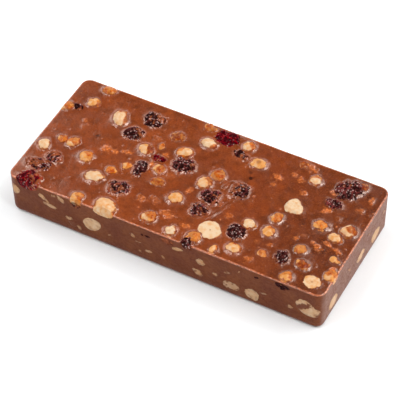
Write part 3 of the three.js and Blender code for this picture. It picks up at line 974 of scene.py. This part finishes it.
class Finish:
    """A material whose colour, gloss and relief are built up from noise and from the
    values that the mesh carries."""

    def __init__(self, name, settings):
        self.material = bpy.data.materials.new(name)
        self.material.use_nodes = True
        self.tree = self.material.node_tree
        self.shader = self.tree.nodes["Principled BSDF"]
        self.place = self.add("TexCoord").outputs["Object"]
        for key, value in settings.items():
            self.shader.inputs[key].default_value = value

    def add(self, kind, inputs=None, **settings):
        made = self.tree.nodes.new("ShaderNode" + kind)
        for key, value in settings.items():
            setattr(made, key, value)
        for key, value in (inputs or {}).items():
            self.feed(made.inputs[key], value)
        return made

    def feed(self, socket, value):
        if isinstance(value, bpy.types.NodeSocket):
            self.tree.links.new(value, socket)
        else:
            socket.default_value = value

    def along(self):
        return self.add("SeparateXYZ", {"Vector": self.place}).outputs["X"]

    def value(self, name):
        """A value that the mesh carries, 0 to 1."""
        return self.add("Attribute", attribute_name=name).outputs["Fac"]

    def noise(self, size, detail=2.0, low=0.3, high=0.7):
        """Noise of a given size, spread over 0 to 1."""
        inputs = {"Vector": self.place, "Scale": 1 / size, "Detail": detail}
        return self.spread(self.add("TexNoise", inputs).outputs["Fac"], low, high)

    def specks(self, spacing, radius):
        """Small round spots at random, 1 at their middle."""
        inputs = {"Vector": self.place, "Scale": 1 / spacing}
        found = self.add("TexVoronoi", inputs).outputs["Distance"]
        return self.spread(found, radius / spacing, 0)

    def spread(self, value, low, high, start=0.0, end=1.0):
        """value as it goes from low to high, made to go from start to end."""
        inputs = {"Value": value, 1: low, 2: high, 3: start, 4: end}
        made = self.add("MapRange", inputs, interpolation_type="SMOOTHSTEP")
        return made.outputs["Result"]

    def times(self, a, b):
        return self.add("Math", {0: a, 1: b}, operation="MULTIPLY").outputs[0]

    def plus(self, a, b):
        return self.add("Math", {0: a, 1: b}, operation="ADD").outputs[0]

    def mix(self, share, a, b):
        """Colour a, turning to colour b as share goes to 1."""
        a, b = (c if isinstance(c, bpy.types.NodeSocket) else linear(c) for c in (a, b))
        made = self.add("Mix", {0: share, 6: a, 7: b}, data_type="RGBA")
        return made.outputs[2]

    def done(self, colour, roughness, relief, height):
        """relief runs over 0 to 1, and height is the depth that it stands for."""
        bump = self.add("Bump", {"Height": relief, "Distance": height, "Strength": 1.0})
        self.feed(self.shader.inputs["Base Color"], colour)
        self.feed(self.shader.inputs["Roughness"], roughness)
        self.feed(self.shader.inputs["Normal"], bump.outputs["Normal"])
        return self.material


def top_finish():
    f = Finish("milk_chocolate", TOP_GLOSS)
    broad = f.noise(20 * MM, 5, 0.35, 0.65)
    middle = f.noise(5 * MM, 5, 0.4, 0.7)
    fine = f.noise(0.9 * MM, 4)
    top = f.mix(broad, CHOCOLATE, CHOCOLATE_RED)
    top = f.mix(f.times(middle, 0.55), top, CHOCOLATE_DEEP)
    top = f.mix(f.times(fine, 0.4), top, CHOCOLATE_RED)
    top = f.mix(f.times(f.noise(7 * MM, 5, 0.5, 0.7), 0.4), top, CHOCOLATE_BLUSH)
    # painted shade: darker towards one end
    top = f.mix(f.spread(f.along(), *PAINTED_SHADE_END), top, CHOCOLATE_DEEP)
    top = f.mix(f.times(f.noise(0.8 * MM, 2, 0.5, 0.7), 0.3), top, CHOCOLATE_PALE)
    top = f.mix(f.times(f.noise(0.9 * MM, 2, 0.5, 0.7), 0.4), top, CHOCOLATE_DEEP)
    top = f.mix(f.times(f.specks(*TOP_SPECKS), 0.6), top, CHOCOLATE_PALE)
    # painted highlight: a broken lighter line along the rim
    line = f.times(f.value("rim"), f.noise(1.1 * MM, 2, 0.3, 0.7))
    top = f.mix(f.times(line, 0.9), top, CHOCOLATE_RIM_HIGHLIGHT)
    chip = f.spread(f.value("amber"), 0, 0.8)
    chip = f.times(chip, f.spread(f.noise(1.3 * MM, 3, 0.4, 0.65), 0, 1, 0.4, 1))
    top = f.mix(chip, top, f.mix(fine, CHIP_DEEP, CHIP))
    top = f.mix(f.times(f.value("dark"), 0.9), top, RAISIN_DEEP)
    satin = f.plus(f.spread(f.noise(3 * MM, 3), 0, 1, 0.12, 0.21), f.times(f.value("collar"), 0.04))
    satin = f.plus(satin, f.times(f.value("amber"), 0.06))
    grain = f.plus(f.times(fine, 0.5), f.times(f.noise(0.45 * MM, 2), 0.3))
    return f.done(top, satin, grain, TOP_RELIEF)


def wall_finish():
    f = Finish("milk_chocolate_wall", WALL_GLOSS)
    fine = f.noise(1.2 * MM, 4)
    colour = f.mix(f.noise(9 * MM, 4), WALL, WALL_PALE)
    colour = f.mix(f.times(fine, 0.35), colour, CHOCOLATE_DEEP)
    colour = f.mix(f.times(f.noise(0.7 * MM, 2, 0.5, 0.75), 0.4), colour, WALL_PALE)
    # painted sheen: pale patches on the end walls
    from_middle = f.add("Math", {0: f.along()}, operation="ABSOLUTE").outputs[0]
    end = f.spread(from_middle, HALF[0] - PAINTED_SHEEN_WIDTH, HALF[0] - DRAFT)
    painted_sheen = f.times(end, f.spread(f.noise(5 * MM, 4, 0.35, 0.65), 0, 1, *PAINTED_SHEEN_SHARE))
    colour = f.mix(painted_sheen, colour, WALL_PAINTED_SHEEN)
    return f.done(colour, f.spread(fine, 0, 1, 0.34, 0.5), fine, FINE_RELIEF)


def nut_finish():
    f = Finish("hazelnut", NUT_GLOSS)
    fine = f.noise(1.0 * MM, 3)
    mottle = f.spread(f.noise(1.6 * MM, 4, 0.4, 0.66), 0, 1, -0.12, 0.3)
    bare = f.mix(f.plus(f.value("gold"), mottle), NUT, NUT_GOLD)
    bare = f.mix(f.value("cut"), bare, f.mix(f.value("gold"), NUT_CUT, NUT_CUT_GOLD))
    bare = f.mix(f.times(f.value("cut"), f.times(fine, 0.35)), bare, NUT)
    bare = f.mix(f.value("eye"), bare, NUT_EYE)
    bare = f.mix(f.times(f.value("smear"), f.spread(f.noise(1.2 * MM, 3), 0, 1, 0.96, 1)), bare, WALL_SMEAR)
    amber = f.mix(f.noise(2 * MM, 3, 0.4, 0.6), AMBER, AMBER_DEEP)
    amber = f.mix(f.times(f.noise(2.6 * MM, 3, 0.42, 0.6), 0.7), amber, NUT_GOLD)
    amber = f.mix(f.times(f.value("brown"), f.noise(1.8 * MM, 2, 0.2, 0.55)), amber, FILM_DEEP)
    patchy = f.plus(f.value("film"), f.times(f.noise(1.7 * MM, 3, 0.25, 0.75), 0.5))
    film = f.spread(patchy, 0.35, 1.3)
    colour = f.mix(film, bare, amber)
    return f.done(colour, f.spread(film, 0, 1, 0.4, 0.18), fine, FINE_RELIEF)


def fruit_finish(name, skin, crease_shade):
    f = Finish(name, FRUIT_GLOSS)
    fine = f.noise(0.7 * MM, 3)
    # painted shade: the deep colour sits in the folds' creases and the lighter skin colour on their crests
    crest = f.spread(f.value("skin"), 0.2, 0.7)
    crest = f.times(crest, f.spread(f.value("black"), 0, 1, 1, 0.3))
    colour = f.mix(f.times(crest, f.noise(2.5 * MM, 3, 0.1, 0.6)), crease_shade, skin)
    coat = f.times(f.value("coat"), f.spread(f.noise(1.5 * MM, 3), 0, 1, 0.5, 1))
    colour = f.mix(coat, colour, f.mix(fine, FRUIT_COAT, FRUIT_COAT_DEEP))
    # painted glints: pale specks, mostly on the crests
    painted_glints = f.times(f.specks(*FRUIT_GLINT_SPECKS), f.value("spark"))
    painted_glints = f.times(painted_glints, f.noise(3.5 * MM, 1, 0.3, 0.5))
    colour = f.mix(f.times(painted_glints, f.spread(f.value("skin"), 0, 0.4)), colour, FRUIT_PAINTED_GLINT)
    return f.done(colour, f.spread(fine, 0, 1, 0.14, 0.3), fine, FRUIT_RELIEF)


# Studio


def direction(azimuth, elevation):
    a, e = radians(azimuth), radians(elevation)
    return Vector((sin(a) * cos(e), -cos(a) * cos(e), sin(e)))


def make_camera():
    back = direction(CAMERA_AZIMUTH, CAMERA_ELEVATION)
    right = Vector((0, 0, 1)).cross(back).normalized()
    axes = Matrix((right, back.cross(right), back)).transposed().to_4x4()
    camera = in_scene("camera", bpy.data.cameras.new("camera"))
    camera.data.lens = CAMERA_LENS
    camera.data.sensor_width = CAMERA_SENSOR
    place = Vector(CAMERA_TARGET) + back * CAMERA_DISTANCE
    roll = Matrix.Rotation(radians(CAMERA_ROLL), 4, "Z")
    camera.matrix_world = Matrix.Translation(place) @ axes @ roll
    bpy.context.scene.camera = camera


def make_softbox(name, azimuth, elevation, distance, width, height, brightness):
    light = bpy.data.lights.new(name, "AREA")
    light.shape = "RECTANGLE"
    light.size = width
    light.size_y = height
    light.energy = brightness * pi * width * height
    box = in_scene(name, light)
    towards = direction(azimuth, elevation)
    turn = towards.to_track_quat("Z", "Y").to_matrix().to_4x4()
    box.matrix_world = Matrix.Translation(towards * distance) @ turn


def make_world():
    """A dim sky over a bright horizon, which is the background of a low view."""
    world = bpy.data.worlds.new("studio")
    bpy.context.scene.world = world
    world.use_nodes = True
    tree = world.node_tree
    place = tree.nodes.new("ShaderNodeTexCoord")
    parts = tree.nodes.new("ShaderNodeSeparateXYZ")
    fade = tree.nodes.new("ShaderNodeMapRange")
    for socket, value in enumerate((*HORIZON, 1.0, AMBIENT), start=1):
        fade.inputs[socket].default_value = value
    background = tree.nodes["Background"]
    background.inputs["Color"].default_value = (1, 1, 1, 1)
    tree.links.new(place.outputs["Generated"], parts.inputs["Vector"])
    tree.links.new(parts.outputs["Z"], fade.inputs["Value"])
    tree.links.new(fade.outputs["Result"], background.inputs["Strength"])


def make_studio():
    make_world()
    for softbox in SOFTBOXES:
        make_softbox(*softbox)
    bpy.context.scene.view_settings.view_transform = "Standard"


def make_floor():
    h = FLOOR_SIZE / 2
    mesh = bpy.data.meshes.new("floor")
    mesh.from_pydata([(-h, -h, 0), (h, -h, 0), (h, h, 0), (-h, h, 0)], [], [(0, 1, 2, 3)])
    f = Finish("floor", FLOOR_MATT)
    f.feed(f.shader.inputs["Base Color"], linear(FLOOR))
    mesh.materials.append(f.material)
    floor = in_scene("floor", mesh)


make_studio()
make_camera()
make_floor()

nut_material = nut_finish()
raisin_material = fruit_finish("raisin", RAISIN, RAISIN_DEEP)
cranberry_material = fruit_finish("cranberry", CRANBERRY, CRANBERRY_DEEP)
nut_marks = wall_bodies(
    (FRONT_FACE, FRONT_NUT_MARKS), (RIGHT_FACE, RIGHT_NUT_MARKS),
    (BACK_FACE, BACK_NUT_MARKS), (LEFT_FACE, LEFT_NUT_MARKS),
)
fruit_marks = wall_bodies(
    (FRONT_FACE, FRONT_FRUIT_MARKS), (BACK_FACE, BACK_FRUIT_MARKS), (LEFT_FACE, LEFT_FRUIT_MARKS)
)

set_outlines(top_nuts + small_nuts, nut_points, NUT_MESH)
set_outlines(raisins + cranberries, lambda *made: fruit_points(*made)[0], FRUIT_MESH)
make_slab(top_finish(), wall_finish())
joined("top_hazelnuts", top_nuts, top_nut, NUT_MESH, nut_material)
joined("wall_hazelnuts", wall_nuts, wall_nut, NUT_MESH, nut_material)
joined("small_hazelnuts", small_nuts, top_nut, NUT_MESH, nut_material)
joined("raisins", raisins, fruit, FRUIT_MESH, raisin_material)
joined("cranberries", cranberries, fruit, FRUIT_MESH, cranberry_material)
joined("hazelnut_marks", nut_marks, wall_nut, MARK_MESH, nut_material)
joined("raisin_marks", fruit_marks, fruit_mark, MARK_MESH, raisin_material)
